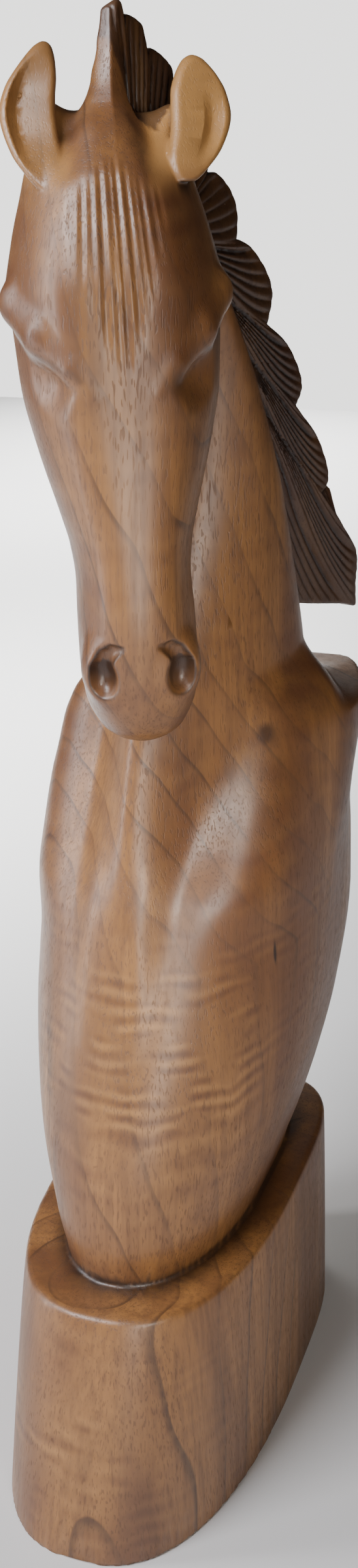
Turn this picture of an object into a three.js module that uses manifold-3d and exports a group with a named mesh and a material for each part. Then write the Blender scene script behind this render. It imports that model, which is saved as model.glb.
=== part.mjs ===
// Horse head and neck carved with its base from one block of brown hardwood.
// Millimetres, +Z up, the chest faces -Y, the base stands on z = 0.
import * as THREE from 'three';
import { mergeVertices } from 'three/addons/utils/BufferGeometryUtils.js';
import Module from 'manifold-3d';

// Base block: an oval with a squarer back, flared towards the floor.
const BASE_HEIGHT = 88;
const BASE_HALF_WIDTH = 46;
const BASE_FRONT = -104;
const BASE_BACK = 76;
const BASE_MIDDLE = 0;
const BASE_FRONT_POWER = 2.55;
const BASE_BACK_POWER = 3.8;
const BASE_FLARE_SIDE = 3;
const BASE_FLARE_FRONT = 20;
const BASE_FLARE_BACK = 2;
const BASE_FLARE_POWER = 0.8;
const BASE_RIM = 2;
const BASE_CENTRE = new THREE.Vector3(0, -21, 0);

// Turning point of the neck, and how far neck and head turn about it.
const PIVOT = new THREE.Vector2(0, -50);
const NECK_TURN = -16;
const NECK_TURN_FROM = 190;
const NECK_TURN_TO = 300;
const HEAD_PIVOT = new THREE.Vector2(-7, -53);
const HEAD_TURN = 23;
const HEAD_ROLL = 3;
const HEAD_ROLL_HEIGHT = 421;

// Chest and shoulders: half width, front and back at heights above the floor.
const CHEST_WIDTH = [[82, 33], [92, 34.5], [105, 38.5], [125, 43.5], [150, 48], [185, 51], [215, 51],
  [240, 49.6], [260, 47.2], [272, 45.6], [280, 42.5], [288, 36.5], [298, 22], [304, 7]];
const CHEST_FRONT = [[82, -85], [105, -89], [125, -89], [150, -85], [185, -75], [205, -68], [222, -61],
  [240, -48], [260, -36], [272, -30], [288, -24], [298, -16], [304, -4]];
const CHEST_BACK = [[82, 50], [105, 62], [125, 71], [150, 79], [185, 85], [240, 91], [272.5, 92],
  [274, 74], [276.5, 61], [286, 49], [304, 30]];
const CHEST_MIDDLE = [[82, -11], [105, -6], [125, -1], [150, 5], [185, 13], [215, 18], [240, 21], [260, 22],
  [276, 17], [288, 10], [304, 10]];
const CHEST_BACK_TAPER = [[190, 0], [215, 0.12], [240, 0.42], [275, 0.62], [304, 0.62]];
const CHEST_SWAY = [[190, 0], [215, 3], [240, 14], [275, 28], [304, 28]];
const CHEST_SWAY_FROM = -25;
const CHEST_FRONT_POWER = [[110, 2.2], [200, 2.4], [225, 3], [255, 3.8]];
const CHEST_BACK_POWER = 4;
const CHEST_LEVELS = [82, 88, 96, 106, 117, 130, 145, 160, 175, 190, 205, 218, 230, 242, 253, 263, 269,
  272.5, 274, 276.5, 281, 286, 292, 298, 304];

// Neck: keel at the front, blunt crest at the back.
const NECK_WIDTH = [[190, 22], [250, 24], [300, 22.5], [337, 22], [366, 21.5], [408, 20], [435, 17],
  [455, 11], [466, 4]];
const NECK_FRONT = [[190, -60], [221, -65], [252, -61], [275, -56], [300, -49], [330, -38], [360, -31],
  [390, -33], [420, -44], [445, -54], [466, -60]];
const NECK_BACK = [[190, 50], [250, 56], [278, 47], [292, 37.5], [304, 34], [341, 20], [370, 6.5],
  [408, -16], [435, -34], [455, -49], [466, -57]];
const NECK_FRONT_POWER = 1.65;
const NECK_BACK_POWER = 2.5;

// Head: half width, front and back of the level sections, measured forward of the head's turning point.
const HEAD_WIDTH = [[287, 6.5], [293, 13], [302, 17], [314, 18.2], [327, 18], [338, 17.6], [348, 18.6],
  [358, 21], [376, 25.8], [394, 29.4], [410, 30.5], [421, 31.5], [435, 29], [447, 25.5], [458, 22],
  [466, 16], [471, 7]];
const HEAD_FRONT = [[287, 35], [293, 42], [302, 46.5], [315, 48.5], [328, 49.5], [348, 48.5], [376, 48],
  [410, 49.5], [421, 49.5], [435, 47], [447, 42], [458, 34], [466, 25], [471, 16]];
const HEAD_BACK = [[287, 17], [293, 12], [315, 7], [338, 4], [358, -3], [376, -12], [394, -18],
  [410, -18], [435, -12], [458, -4], [466, 1], [471, 7]];
const HEAD_WIDEST = [[287, 26], [315, 24], [348, 18], [394, 14], [421, 12], [447, 12], [471, 12]];
// The rounded front would stand this far ahead of the flat bridge of the nose.
const HEAD_BRIDGE = [[287, 0], [305, 0.6], [325, 2.5], [345, 4.5], [380, 5], [410, 4.5], [435, 3],
  [458, 0.5], [471, 0]];
const HEAD_FRONT_POWER = 1.85;
const HEAD_BACK_POWER = 2.4;

// Heavy brow over the closed eye, the hollow below it and the nostril, each for one side of the head as
// side, forward and height, the brow also with its radius.
const BROW = [[25, 12, 427, 4], [25.4, 22, 419, 8], [19.8, 34.5, 410.5, 7.5], [13, 42.5, 402, 5],
  [8.5, 46, 394.5, 2]];
const HOLLOW = { at: [31.5, 48, 398], size: [16, 16, 12] };
const NOSTRIL_FLARE = { at: [10.6, 37.4, 313], size: [7.2, 8.4, 10] };
const NOSTRIL = { at: [11.5, 46, 312], size: [4.6, 5.5, 6.8] };

// Ears: base, middle and tip along the ear, its turn, the flat of its inner wall and its hollow, which is
// placed by its share of the ear's length, its offset across and how far forward it is centred.
const EARS = [
  {
    side: -1,
    spine: [[17.2, 29, 449], [21.3, 17, 469], [15.4, 8.5, 488]],
    turn: -4,
    scale: 1,
    flat: 2.8,
    hollow: { at: 0.5, across: -1.8, forward: 4.6, size: [4.2, 4.8, 12] },
  },
  {
    side: 1,
    spine: [[21, 29, 449], [27.2, 17, 467], [26, 9, 482.5]],
    turn: 16,
    scale: 1.12,
    flat: 2.8,
    hollow: { at: 0.3, across: 4.4, forward: 4, size: [4.6, 4.8, 10.5] },
  },
];
const EAR_WIDTH = [[0, 2.8], [0.08, 4.6], [0.25, 7], [0.52, 7.9], [0.7, 7.2], [0.83, 5.5], [0.95, 3],
  [1, 1.2]];
const EAR_DEPTH = 5.5;

// Poll: the rise from the forehead to the front of the crest, as side, forward, height and radius.
const POLL = [[0, 24, 446, 15], [0.2, 19, 457, 10], [0.6, 13, 467, 7], [2, 10, 478, 4.6],
  [3.1, 8.5, 487, 2.7], [3.7, 8, 494, 1.5]];

// Saddle joining the backs of the ears, as side, forward, height and radius.
const SADDLE = [[-19, 9, 467, 7], [-12, 8, 461.5, 8], [0, 8, 459, 8], [12, 7, 459, 8], [20, 8, 463, 7]];

// Valleys between the ears and the poll, as side, forward, height and radius.
const VALLEYS = [
  [[-9, 0, 480, 8.5], [-12, 20, 471.5, 8.5], [-14, 38, 459.5, 8]],
  [[10, 0, 479, 8.5], [13.5, 20, 470.5, 8.5], [16, 38, 458.5, 8]],
];

// Forelock: gouged grooves fanning down the forehead.
const FORELOCK_GROOVES = 9;
const FORELOCK_TOP = 453;
const FORELOCK_SPREAD = 15;
const FORELOCK_LONG = 394;
const FORELOCK_SHORT = 431;
const GROOVE_RADIUS = 1.6;
const GROOVE_LIFT = 0.6;

// Mane: strands fan from one centre in the neck's plane. Each lock runs between two angles and reaches
// out by four radii: at its upper notch, its shoulder, its fullest place and its lower notch.
const MANE_CENTRE = new THREE.Vector2(-5, 430);
const MANE_LOCKS = [
  { from: 96.5, to: 92.5, reach: [61, 66.5, 68, 64], strands: 2 },
  { from: 92.5, to: 81.5, reach: [61.5, 64.5, 63, 56], strands: 4 },
  { from: 81.5, to: 65, reach: [55, 57.5, 56, 49], strands: 4 },
  { from: 65, to: 31.5, reach: [48, 53, 55, 44], strands: 6 },
  { from: 31.5, to: 3, reach: [43, 50, 57, 55.5], strands: 6 },
  { from: 3, to: -18.3, reach: [57, 66, 80, 79], strands: 7 },
  { from: -18.3, to: -29.6, reach: [81, 96, 110.5, 109], strands: 7 },
  { from: -29.6, to: -37.3, reach: [112, 131, 146.5, 144], strands: 7 },
  { from: -37.3, to: -43, reach: [158, 184, 192.5, 198.5], strands: 6 },
  { from: -43, to: -54.2, reach: [198.5, 188, 162, 150.5], strands: 5 },
];
const REACH_AT = [0, 0.15, 0.7, 1];
const MANE_ROOT = [[-54.2, 145], [-50.4, 115], [-45, 85], [-30, 44], [14.7, 20], [45, 19], [78.7, 25],
  [97, 28]];
const MANE_ROOT_HALF = 7;
const MANE_EDGE_HALF = 3.2;
const MANE_CREST_THIN = 0.55;
const MANE_OVERLAP = 1.1;
const STRAND_DEPTH = 0.8;
const MANE_ROWS = 3;

// Wood, lacquered satin.
const WOOD_COLOUR = 0x8a5a34;
const WOOD_ROUGHNESS = 0.38;

const wasm = await Module();
wasm.setup();

const rad = THREE.MathUtils.degToRad;
const lerp = THREE.MathUtils.lerp;

// Smooth run through a short table of stations without overshoot between them.
function along(table) {
  const n = table.length;
  const step = [];
  for (let i = 0; i < n - 1; i += 1) {
    step.push((table[i + 1][1] - table[i][1]) / (table[i + 1][0] - table[i][0]));
  }
  const slope = table.map((row, i) => {
    if (i === 0) return step[0];
    if (i === n - 1) return step[n - 2];
    if (step[i - 1] * step[i] <= 0) return 0;
    return (2 * step[i - 1] * step[i]) / (step[i - 1] + step[i]);
  });
  return (x) => {
    if (x <= table[0][0]) return table[0][1];
    if (x >= table[n - 1][0]) return table[n - 1][1];
    let i = 0;
    while (x > table[i + 1][0]) i += 1;
    const h = table[i + 1][0] - table[i][0];
    const t = (x - table[i][0]) / h;
    const a = table[i][1] * (1 + 2 * t) * (1 - t) * (1 - t);
    const b = table[i + 1][1] * t * t * (3 - 2 * t);
    const c = h * (slope[i] * t * (1 - t) * (1 - t) - slope[i + 1] * t * t * (1 - t));
    return a + b + c;
  };
}

// Closed solid from a geometry.
function solid(geometry) {
  const g = geometry.clone();
  g.deleteAttribute('normal');
  g.deleteAttribute('uv');
  const m = mergeVertices(g, 1e-4);
  return new wasm.Manifold(new wasm.Mesh({
    numProp: 3,
    vertProperties: Float32Array.from(m.attributes.position.array),
    triVerts: Uint32Array.from(m.index.array),
  }));
}

// Cylinder drawn out to a form: every point is set by its angle, its share of the length and whether it
// lies on the side or at the middle of an end.
function loft(columns, rows, place) {
  const g = new THREE.CylinderGeometry(1, 1, 1, columns, rows);
  const p = g.attributes.position;
  for (let i = 0; i < p.count; i += 1) {
    const v = new THREE.Vector3().fromBufferAttribute(p, i);
    const out = Math.hypot(v.x, v.z);
    const spot = place(Math.atan2(-v.z, v.x), v.y + 0.5, out > 0.5 ? 1 : 0);
    p.setXYZ(i, spot.x, spot.y, spot.z);
  }
  return solid(g);
}

// Point of an oval whose front and back halves have their own depth and squareness.
function oval(angle, out, half, front, middle, back, frontPower, backPower) {
  const c = Math.cos(angle);
  const s = Math.sin(angle);
  const power = s < 0 ? frontPower : backPower;
  const depth = s < 0 ? middle - front : back - middle;
  const x = half * Math.sign(c) * Math.abs(c) ** (2 / power);
  const y = middle + depth * Math.sign(s) * Math.abs(s) ** (2 / power);
  return new THREE.Vector2(x * out, lerp(middle, y, out));
}

function turned(point, centre, degrees) {
  return point.clone().rotateAround(centre, rad(degrees));
}

function neckTurn(z) {
  return NECK_TURN * THREE.MathUtils.smoothstep(z, NECK_TURN_FROM, NECK_TURN_TO);
}

// Head place: side, forward and height, carried to the turned and rolled head.
function headPlace(side, forward, height) {
  const roll = rad(HEAD_ROLL);
  const rise = height - HEAD_ROLL_HEIGHT;
  const a = side * Math.cos(roll) - rise * Math.sin(roll);
  const z = HEAD_ROLL_HEIGHT + rise * Math.cos(roll) + side * Math.sin(roll);
  const spot = new THREE.Vector2(HEAD_PIVOT.x + a, HEAD_PIVOT.y - forward);
  const flat = turned(spot, HEAD_PIVOT, HEAD_TURN);
  return new THREE.Vector3(flat.x, flat.y, z);
}

// Neck-plane place: backward of the turning point, height and offset to the horse's left.
function neckPlace(backward, height, offset) {
  const flat = turned(new THREE.Vector2(PIVOT.x + offset, PIVOT.y + backward), PIVOT, NECK_TURN);
  return new THREE.Vector3(flat.x, flat.y, height);
}

// Round bump or hollow on the head.
function ball(at, size, side) {
  const g = new THREE.SphereGeometry(1, 12, 8);
  const p = g.attributes.position;
  for (let i = 0; i < p.count; i += 1) {
    const v = new THREE.Vector3().fromBufferAttribute(p, i);
    const spot = headPlace(side * at[0] + v.x * size[0], at[1] - v.y * size[1], at[2] + v.z * size[2]);
    p.setXYZ(i, spot.x, spot.y, spot.z);
  }
  return solid(g);
}

// Base.
function makeBase() {
  const levels = [0, BASE_HEIGHT * 0.25, BASE_HEIGHT * 0.55, BASE_HEIGHT - BASE_RIM,
    BASE_HEIGHT - BASE_RIM * 0.3, BASE_HEIGHT];
  const inset = [0, 0, 0, 0, BASE_RIM * 0.3, BASE_RIM];
  const rows = levels.length - 1;
  return loft(40, rows, (angle, share, out) => {
    const k = Math.round(share * rows);
    const flare = (1 - levels[k] / BASE_HEIGHT) ** BASE_FLARE_POWER;
    const flat = oval(angle, out, BASE_HALF_WIDTH + BASE_FLARE_SIDE * flare - inset[k],
      BASE_FRONT - BASE_FLARE_FRONT * flare + inset[k], BASE_MIDDLE,
      BASE_BACK + BASE_FLARE_BACK * flare - inset[k], BASE_FRONT_POWER, BASE_BACK_POWER);
    return new THREE.Vector3(flat.x, flat.y, levels[k]);
  });
}

// Chest and shoulders.
function makeChest() {
  const half = along(CHEST_WIDTH);
  const front = along(CHEST_FRONT);
  const back = along(CHEST_BACK);
  const middle = along(CHEST_MIDDLE);
  const taper = along(CHEST_BACK_TAPER);
  const sway = along(CHEST_SWAY);
  const squareness = along(CHEST_FRONT_POWER);
  const rows = CHEST_LEVELS.length - 1;
  return loft(32, rows, (angle, share, out) => {
    const z = CHEST_LEVELS[Math.round(share * rows)];
    const flat = oval(angle, out, half(z), front(z), middle(z), back(z), squareness(z), CHEST_BACK_POWER);
    const behind = THREE.MathUtils.smoothstep(flat.y, 10, Math.max(back(z), 20));
    flat.x *= 1 - taper(z) * behind;
    flat.x += sway(z) * THREE.MathUtils.smoothstep(flat.y, CHEST_SWAY_FROM, BASE_BACK + 10);
    return new THREE.Vector3(flat.x, flat.y, z);
  });
}

// Neck.
function makeNeck() {
  const half = along(NECK_WIDTH);
  const front = along(NECK_FRONT);
  const back = along(NECK_BACK);
  const low = NECK_WIDTH[0][0];
  const high = NECK_WIDTH[NECK_WIDTH.length - 1][0];
  return loft(24, 18, (angle, share, out) => {
    const z = lerp(low, high, share);
    const middle = lerp(front(z), back(z), 0.5);
    const flat = oval(angle, out, half(z), front(z), middle, back(z), NECK_FRONT_POWER, NECK_BACK_POWER);
    const spot = turned(flat, PIVOT, neckTurn(z));
    return new THREE.Vector3(spot.x, spot.y, z);
  });
}

const headHalf = along(HEAD_WIDTH);
const headFront = along(HEAD_FRONT);
const headBack = along(HEAD_BACK);
const headWidest = along(HEAD_WIDEST);
const headBridge = along(HEAD_BRIDGE);

// Head core.
function makeHead() {
  const low = HEAD_WIDTH[0][0];
  const high = HEAD_WIDTH[HEAD_WIDTH.length - 1][0];
  return loft(30, 25, (angle, share, out) => {
    const z = lerp(low, high, share);
    const flat = oval(angle, out, headHalf(z), -headFront(z) - headBridge(z), -headWidest(z), -headBack(z),
      HEAD_FRONT_POWER, HEAD_BACK_POWER);
    return headPlace(flat.x, Math.min(-flat.y, headFront(z)), z);
  });
}

// Front surface of the head core at a place across the face.
function facePoint(side, z) {
  const across = Math.min(1, Math.abs(side) / headHalf(z));
  const full = headFront(z) + headBridge(z) - headWidest(z);
  const depth = full * (1 - across ** HEAD_FRONT_POWER) ** (1 / HEAD_FRONT_POWER);
  return Math.min(headWidest(z) + depth, headFront(z));
}

// Round bar along a curve whose radius changes, closed at both ends.
function bar(curve, radius, columns, rows) {
  const frames = curve.computeFrenetFrames(rows, false);
  return loft(columns, rows, (angle, share, out) => {
    const k = Math.round(share * rows);
    const spot = curve.getPointAt(share);
    const r = radius(share) * out;
    spot.addScaledVector(frames.normals[k], r * Math.cos(angle));
    spot.addScaledVector(frames.binormals[k], r * Math.sin(angle));
    return spot;
  });
}

// Ear: a leaf with a scooped front.
function makeEar({ side, spine, turn, scale, flat, hollow }) {
  const curve = new THREE.CatmullRomCurve3(spine.map((e) => new THREE.Vector3(side * e[0], e[1], e[2])));
  const half = along(EAR_WIDTH);
  const outward = rad(turn) * side;
  const leaf = (across, forward, spot) => headPlace(
    spot.x + across * Math.cos(outward) + forward * Math.sin(outward),
    spot.y + forward * Math.cos(outward) - across * Math.sin(outward),
    spot.z,
  );
  const shell = loft(12, 10, (angle, share, out) => {
    const w = half(share) * scale;
    const d = Math.min(EAR_DEPTH, w * 0.9);
    const ahead = Math.min(-out * d * Math.sin(angle), flat);
    return leaf(out * w * Math.cos(angle), ahead, curve.getPointAt(share));
  });
  const g = new THREE.SphereGeometry(1, 12, 8);
  const p = g.attributes.position;
  const middle = curve.getPointAt(hollow.at);
  for (let i = 0; i < p.count; i += 1) {
    const v = new THREE.Vector3().fromBufferAttribute(p, i);
    const spot = middle.clone().setZ(middle.z + v.z * hollow.size[2]);
    const forward = hollow.forward - v.y * hollow.size[1];
    const place = leaf(hollow.across + v.x * hollow.size[0], forward, spot);
    p.setXYZ(i, place.x, place.y, place.z);
  }
  return shell.subtract(solid(g));
}

// Rounded rise along stations given as side, forward, height and radius.
function makeRise(stations, columns, rows) {
  const curve = new THREE.CatmullRomCurve3(stations.map((p) => headPlace(p[0], p[1], p[2])));
  const radius = along(stations.map((p, i) => [i / (stations.length - 1), p[3]]));
  return bar(curve, radius, columns, rows);
}

// Mane: one plate warped to the fan of locks, ridged strand by strand on both faces.
function makeMane() {
  const root = along(MANE_ROOT);
  const columns = [];
  MANE_LOCKS.forEach((lock, i) => {
    const reach = along(REACH_AT.map((f, k) => [f, lock.reach[k]]));
    const steps = lock.strands * 2;
    for (let k = 0; k <= steps; k += 1) {
      const share = k / steps;
      const gap = k === 0 && i > 0 ? 0.012 : 0;
      columns.push({
        angle: lerp(lock.from, lock.to, share + gap),
        reach: reach(share + gap),
        ridge: k % 2,
        overlap: lerp(-MANE_OVERLAP, MANE_OVERLAP, share),
      });
    }
  });
  const g = new THREE.BoxGeometry(1, 1, 1, 1, columns.length - 1, MANE_ROWS);
  const p = g.attributes.position;
  for (let i = 0; i < p.count; i += 1) {
    const v = new THREE.Vector3().fromBufferAttribute(p, i);
    const column = columns[Math.round((0.5 - v.y) * (columns.length - 1))];
    const share = v.z + 0.5;
    const inner = root(column.angle) - 6;
    const radius = lerp(inner, column.reach, share);
    const crest = lerp(1, MANE_CREST_THIN, THREE.MathUtils.smoothstep(column.angle, 55, 90));
    const carved = Math.min(1, share * 3);
    let half = lerp(MANE_ROOT_HALF, MANE_EDGE_HALF, share) * crest;
    half += (column.overlap * crest + STRAND_DEPTH * (column.ridge - 0.5) * crest) * carved;
    const spot = neckPlace(MANE_CENTRE.x + radius * Math.cos(rad(column.angle)),
      MANE_CENTRE.y + radius * Math.sin(rad(column.angle)), -2 * v.x * Math.max(half, 1.2));
    p.setXYZ(i, spot.x, spot.y, spot.z);
  }
  return solid(g);
}

// Forelock grooves.
function makeGroove(index) {
  const across = (2 * index) / (FORELOCK_GROOVES - 1) - 1;
  const end = lerp(FORELOCK_LONG, FORELOCK_SHORT, Math.abs(across) ** 1.2);
  const points = [];
  for (let k = 0; k <= 4; k += 1) {
    const z = lerp(FORELOCK_TOP, end, k / 4);
    const side = across * FORELOCK_SPREAD * lerp(0.75, 1, k / 4);
    points.push(headPlace(side, facePoint(side, z) + GROOVE_LIFT, z));
  }
  const curve = new THREE.CatmullRomCurve3(points);
  const taper = (share) => Math.min(1, 0.3 + 4 * share, 0.35 + 3 * (1 - share));
  return bar(curve, (share) => GROOVE_RADIUS * taper(share), 4, 5);
}

let block = makeBase();
block = block.add(makeChest());
block = block.add(makeNeck());
let head = makeHead();
for (const valley of VALLEYS) {
  head = head.subtract(makeRise(valley, 10, 4));
}
head = head.add(makeRise(POLL, 10, 7));
head = head.add(makeRise(SADDLE, 8, 6));
for (const side of [-1, 1]) {
  head = head.subtract(ball(HOLLOW.at, HOLLOW.size, side));
  head = head.add(makeRise(BROW.map((b) => [side * b[0], b[1], b[2], b[3]]), 8, 6));
  head = head.add(ball(NOSTRIL_FLARE.at, NOSTRIL_FLARE.size, side));
  head = head.subtract(ball(NOSTRIL.at, NOSTRIL.size, side));
}
for (let i = 0; i < FORELOCK_GROOVES; i += 1) {
  head = head.subtract(makeGroove(i));
}
for (const ear of EARS) {
  head = head.add(makeEar(ear));
}
block = block.add(head);
block = block.add(makeMane());

const mesh = block.getMesh();
const geometry = new THREE.BufferGeometry();
geometry.setAttribute('position', new THREE.BufferAttribute(Float32Array.from(mesh.vertProperties), 3));
geometry.setIndex(new THREE.BufferAttribute(Uint32Array.from(mesh.triVerts), 1));
geometry.translate(-BASE_CENTRE.x, -BASE_CENTRE.y, -BASE_CENTRE.z);
geometry.computeVertexNormals();

const wood = new THREE.MeshStandardMaterial({
  color: WOOD_COLOUR,
  roughness: WOOD_ROUGHNESS,
  metalness: 0,
});
wood.name = 'satin_lacquered_hardwood';
const bust = new THREE.Mesh(geometry, wood);
bust.name = 'horse_bust';

const group = new THREE.Group();
group.name = 'carved_horse_head';
group.add(bust);

export default group;
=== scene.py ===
import math
from functools import partial

import bpy
import numpy as np
from mathutils import Matrix, Vector


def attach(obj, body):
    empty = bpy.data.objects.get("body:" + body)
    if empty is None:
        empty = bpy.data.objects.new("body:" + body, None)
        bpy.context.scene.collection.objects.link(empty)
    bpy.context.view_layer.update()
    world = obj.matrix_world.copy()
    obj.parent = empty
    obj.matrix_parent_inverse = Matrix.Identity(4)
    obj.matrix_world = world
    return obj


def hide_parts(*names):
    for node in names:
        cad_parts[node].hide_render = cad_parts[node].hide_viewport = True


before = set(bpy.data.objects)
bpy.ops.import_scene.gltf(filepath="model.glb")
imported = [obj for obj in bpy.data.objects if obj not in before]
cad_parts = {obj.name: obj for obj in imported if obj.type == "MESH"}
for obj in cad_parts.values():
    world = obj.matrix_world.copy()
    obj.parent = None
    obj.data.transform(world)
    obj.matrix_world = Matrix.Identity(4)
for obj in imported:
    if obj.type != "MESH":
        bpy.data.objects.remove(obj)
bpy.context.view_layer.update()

MM = 0.001

# Base block (millimetres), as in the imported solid.
BASE_HEIGHT, BASE_HALF_WIDTH = 88.0, 46.0
BASE_FRONT, BASE_MIDDLE, BASE_BACK = -104.0, 0.0, 76.0
BASE_FRONT_POWER, BASE_BACK_POWER = 2.55, 3.8
BASE_FLARE_SIDE, BASE_FLARE_FRONT, BASE_FLARE_BACK, BASE_FLARE_POWER = 3.0, 20.0, 2.0, 0.8
BASE_RIM, BASE_FOOT_EDGE = 2.2, 1.0
BASE_CENTRE_Y = -21.0

# Turning points of the neck and the head.
PIVOT = (0.0, -50.0)
NECK_TURN, NECK_TURN_FROM, NECK_TURN_TO = -16.0, 190.0, 300.0
HEAD_PIVOT = (-7.0, -53.0)
HEAD_TURN, HEAD_ROLL, HEAD_ROLL_HEIGHT = 23.0, 3.0, 421.0

# Chest and shoulders by height.
CHEST_WIDTH = [(82, 33), (92, 34.5), (105, 38.5), (125, 43.5), (150, 48), (185, 51), (215, 51), (240, 49.6),
               (260, 47.2), (272, 45.6), (280, 42.5), (288, 36.5), (298, 22), (304, 7)]
CHEST_FRONT = [(82, -85), (105, -89), (125, -89), (150, -85), (185, -75), (205, -68), (222, -61), (240, -48),
               (260, -36), (272, -30), (288, -24), (298, -16), (304, -4)]
CHEST_BACK = [(82, 50), (105, 62), (125, 71), (150, 79), (185, 85), (240, 91), (272.5, 92), (274, 74),
              (276.5, 61), (286, 49), (304, 30)]
CHEST_MIDDLE = [(82, -11), (105, -6), (125, -1), (150, 5), (185, 13), (215, 18), (240, 21), (260, 22),
                (276, 17), (288, 10), (304, 10)]
CHEST_TAPER = [(190, 0), (215, 0.12), (240, 0.42), (275, 0.62), (304, 0.62)]
CHEST_TAPER_FROM, CHEST_TAPER_LEAST = 10.0, 20.0
CHEST_SWAY = [(190, 0), (215, 3), (240, 14), (275, 28), (304, 28)]
CHEST_SWAY_FROM, CHEST_SWAY_TO = -25.0, BASE_BACK + 10
CHEST_FRONT_POWER = [(110, 2.2), (200, 2.4), (225, 3), (255, 3.8)]
CHEST_BACK_POWER = 4.0
CHEST_TOP, CHEST_TOP_EDGE, CHEST_FOOT_EDGE = 303.0, 3.0, 1.0

# Neck by height.
NECK_WIDTH = [(190, 22), (250, 24), (300, 22.5), (337, 22), (366, 21.5), (408, 20), (435, 17), (455, 11),
              (466, 4)]
NECK_FRONT = [(190, -60), (221, -65), (252, -61), (275, -56), (300, -49), (330, -38), (360, -31), (390, -33),
              (420, -44), (445, -54), (466, -60)]
NECK_BACK = [(190, 50), (250, 56), (278, 47), (292, 37.5), (304, 34), (341, 20), (370, 6.5), (408, -16),
             (435, -34), (455, -49), (466, -57)]
NECK_FRONT_POWER, NECK_BACK_POWER, NECK_END_EDGE, KEEL_ROUND = 1.65, 2.5, 3.0, 1.4

# Head by height, measured forward of its turning point; the bridge of the nose is flat.
HEAD_WIDTH = [(287, 6.5), (293, 13), (302, 17), (314, 18.2), (327, 18), (338, 17.6), (348, 18.6), (358, 21),
              (376, 25.8), (394, 29.4), (410, 30.5), (421, 31.5), (435, 29), (447, 25.5), (458, 22),
              (466, 16), (471, 7)]
HEAD_FRONT = [(287, 35), (293, 42), (302, 46.5), (315, 48.5), (328, 49.5), (348, 48.5), (376, 48),
              (410, 49.5), (421, 49.5), (435, 47), (447, 42), (458, 34), (466, 25), (471, 16)]
HEAD_BACK = [(287, 17), (293, 12), (315, 7), (338, 4), (358, -3), (376, -12), (394, -18), (410, -18),
             (435, -12), (458, -4), (466, 1), (471, 7)]
HEAD_WIDEST = [(287, 26), (315, 24), (348, 18), (394, 14), (421, 12), (447, 12), (471, 12)]
HEAD_BRIDGE = [(287, 0), (305, 0.6), (325, 2.5), (345, 4.5), (380, 5), (410, 4.5), (435, 3), (458, 0.5),
               (471, 0)]
HEAD_FRONT_POWER, HEAD_BACK_POWER = 1.85, 2.4
BRIDGE_EDGE, HEAD_TOP_EDGE, CHIN_EDGE = 5.0, 4.0, 6.0

# Features of one side of the head: side, forward, height (and radius).
BROW = [(25, 12, 427, 4), (25.4, 22, 419, 8), (19.8, 34.5, 410.5, 7.5), (13, 42.5, 402, 5),
        (8.5, 46, 394.5, 2)]
HOLLOW_AT, HOLLOW_SIZE = (31.5, 48, 398), (16, 16, 12)
FLARE_AT, FLARE_SIZE = (10.6, 37.4, 313), (7.2, 8.4, 10)
NOSTRIL_AT, NOSTRIL_SIZE = (12.0, 46, 311.5), (4.4, 6.6, 6.4)
NOSTRIL_SLIT = [(12.4, 43.4, 315, 2.6), (11, 45, 318.6, 2.2), (8.8, 46.4, 320.6, 1.6), (6, 47.8, 321.4, 0.7)]

# Ears: places along the ear as height, side and forward; the hollow is laid across the ear's width from its
# inner edge over its deepest line to its outer edge, and along the ear from low to high.
EARS = [
    dict(side=-1, spine=[(449, 17.2, 29), (469, 21.3, 17), (488, 15.4, 8.5)], turn=-4, scale=1.0, flat=2.8,
         hollow=(-0.92, 0.4, 0.76), slope=1.2, along=(0.08, 0.4, 0.62, 0.93), deep=3.0),
    dict(side=1, spine=[(449, 21, 29), (467, 27.2, 17), (482.5, 26, 9)], turn=16, scale=1.12, flat=2.8,
         hollow=(0.0, 0.32, 0.7), slope=0.8, along=(0.1, 0.4, 0.42, 0.78), deep=1.8),
]
EAR_WIDTH = [(0, 2.8), (0.08, 4.6), (0.25, 7), (0.52, 7.9), (0.7, 7.2), (0.83, 5.5), (0.95, 3), (1, 1.2)]
EAR_DEPTH, EAR_DEPTH_SHARE, EAR_OUTER_SLOPE, EAR_FACE_SLOPE = 5.5, 0.9, 0.7, 0.75
EAR_FACE_EDGE, EAR_TIP_EDGE, EAR_FOOT_EDGE = 0.9, 1.5, 1.0
EAR_FILLER_BALL, EAR_FILLER_ROWS, EAR_FILLER_ACROSS = 2.6, np.linspace(0.08, 0.88, 11), (-0.45, 0.0, 0.45)

# Poll, the saddle joining the ears and the valleys beside the poll: side, forward, height, radius.
POLL = [(0, 24, 446, 15), (0.2, 19, 457, 10), (0.6, 13, 467, 6), (2, 9, 478, 3.6), (3.1, 7.5, 487, 2.2),
        (3.7, 7, 494, 1.2)]
SADDLE = [(-19, 9, 467, 7), (-12, 8, 461.5, 8), (0, 8, 459, 8), (12, 7, 459, 8), (20, 8, 463, 7)]
VALLEYS = [
    [(-9, 0, 480, 8.5), (-12, 20, 471.5, 8.5), (-14, 38, 459.5, 8)],
    [(10, 0, 479, 8.5), (13.5, 20, 470.5, 8.5), (16, 38, 458.5, 8)],
]
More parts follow.
